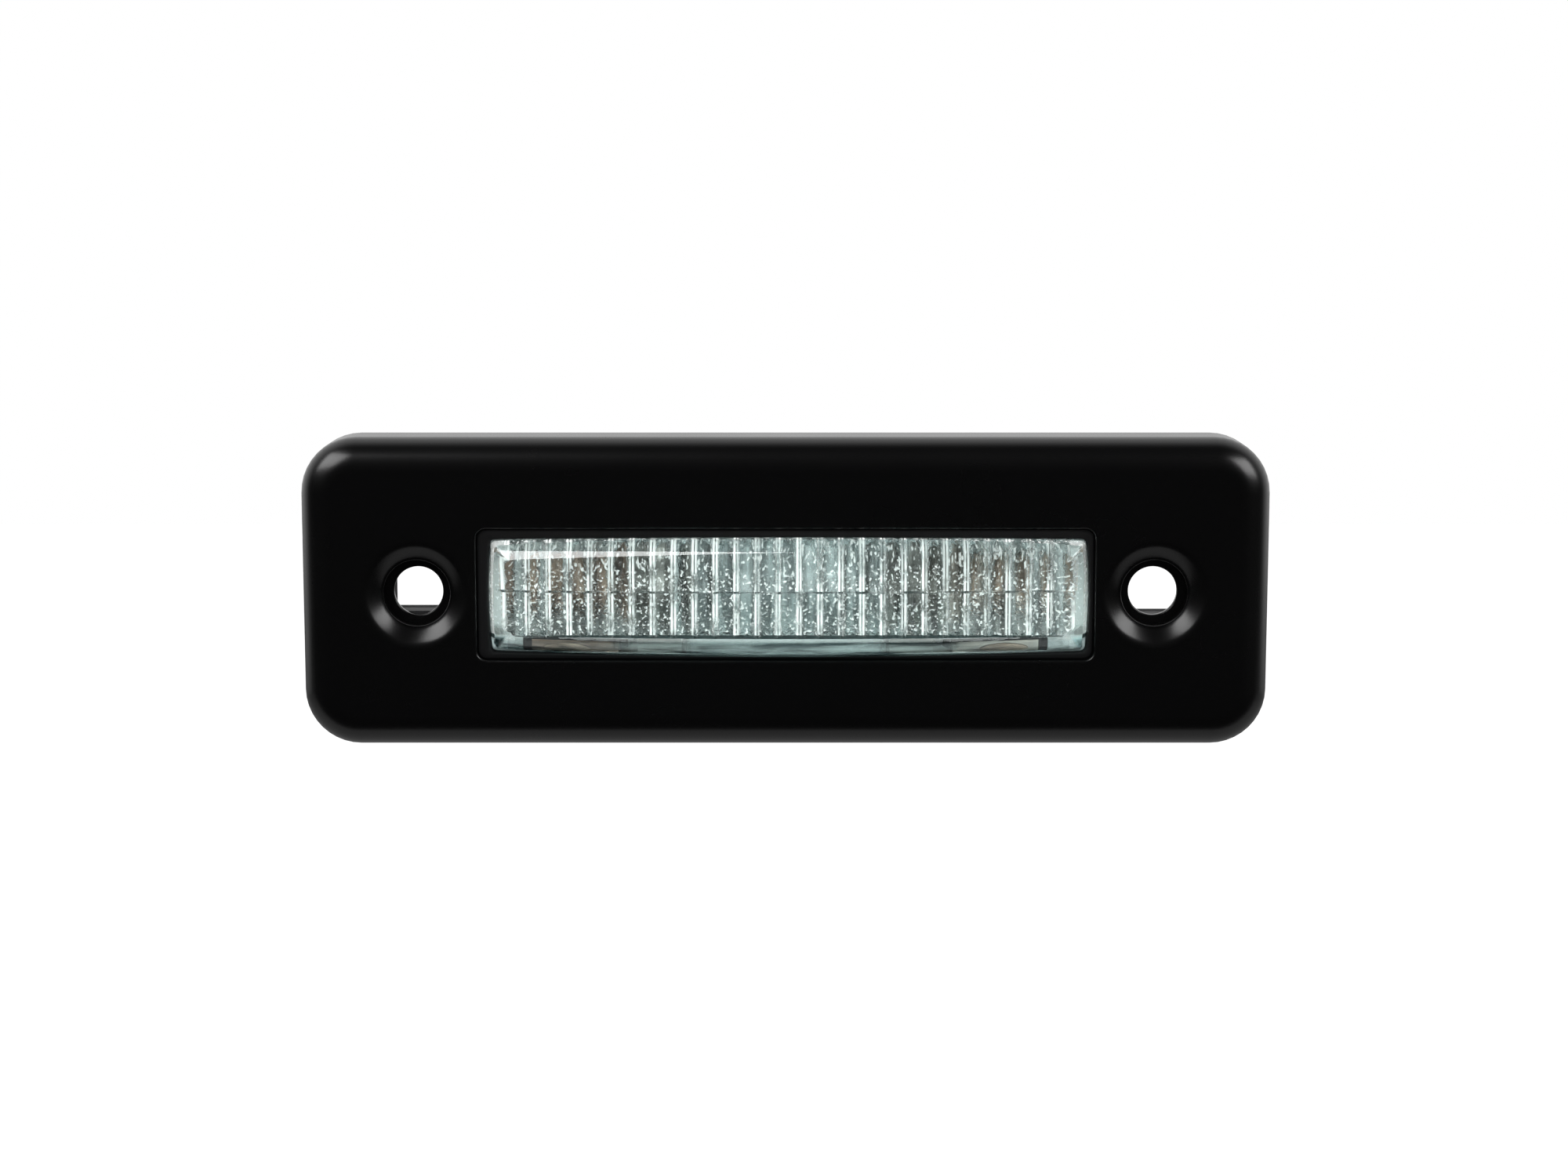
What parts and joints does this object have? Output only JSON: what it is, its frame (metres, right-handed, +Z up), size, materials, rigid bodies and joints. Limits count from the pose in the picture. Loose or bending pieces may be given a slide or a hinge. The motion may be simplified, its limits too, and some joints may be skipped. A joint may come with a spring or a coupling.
{
  "type": "number plate lamp",
  "caption": "Low rectangular number plate lamp: black pressed cover with screw dimples round a clear fluted lens, over a plastic housing with a tubular bulb and blade terminals.",
  "frame": {"origin": "middle of the mounting plane, where the foam seal's back face meets the panel, on the line between the fixing holes", "axes": "+X along the lamp to the right as seen from its front, as in the picture, +Z up, -Y the way the lamp shines, +Y into the panel"},
  "size_m": [0.0984, 0.0291, 0.0316],
  "materials": {
    "black_paint": "satin deep black paint on pressed steel",
    "clear_lens": "clear polycarbonate with a faint green-grey tint, stippled inside",
    "black_rubber": "matte moulded rubber",
    "black_plastic": "fine matte moulded plastic",
    "foam": "closed-cell foam",
    "bright_reflector": "bright aluminium sheet with fine dents",
    "spring_brass": "rolled spring brass strip, tarnished",
    "rivet_brass": "turned brass, tarnished",
    "tinned_brass": "tinned brass strip",
    "bulb_glass": "clear glass",
    "nickel": "nickel-plated caps",
    "solder": "dull soft solder",
    "wire": "drawn wire",
    "tungsten": "coiled tungsten wire"
  },
  "bodies": {
    "root": {"cover": "black_paint", "lens": "clear_lens", "lens_seal": "black_rubber", "housing": "black_plastic", "panel_seal": "foam", "reflector": "bright_reflector", "contact_left": "spring_brass", "contact_right": "spring_brass", "rivet_left": "rivet_brass", "rivet_right": "rivet_brass", "terminal_left": "tinned_brass", "terminal_right": "tinned_brass", "bulb_glass": "bulb_glass", "bulb_cap_left": "nickel", "bulb_cap_right": "nickel", "bulb_solder_left": "solder", "bulb_solder_right": "solder", "bulb_lead_left": "wire", "bulb_lead_right": "wire", "bulb_filament": "tungsten"}
  },
  "joints": []
}
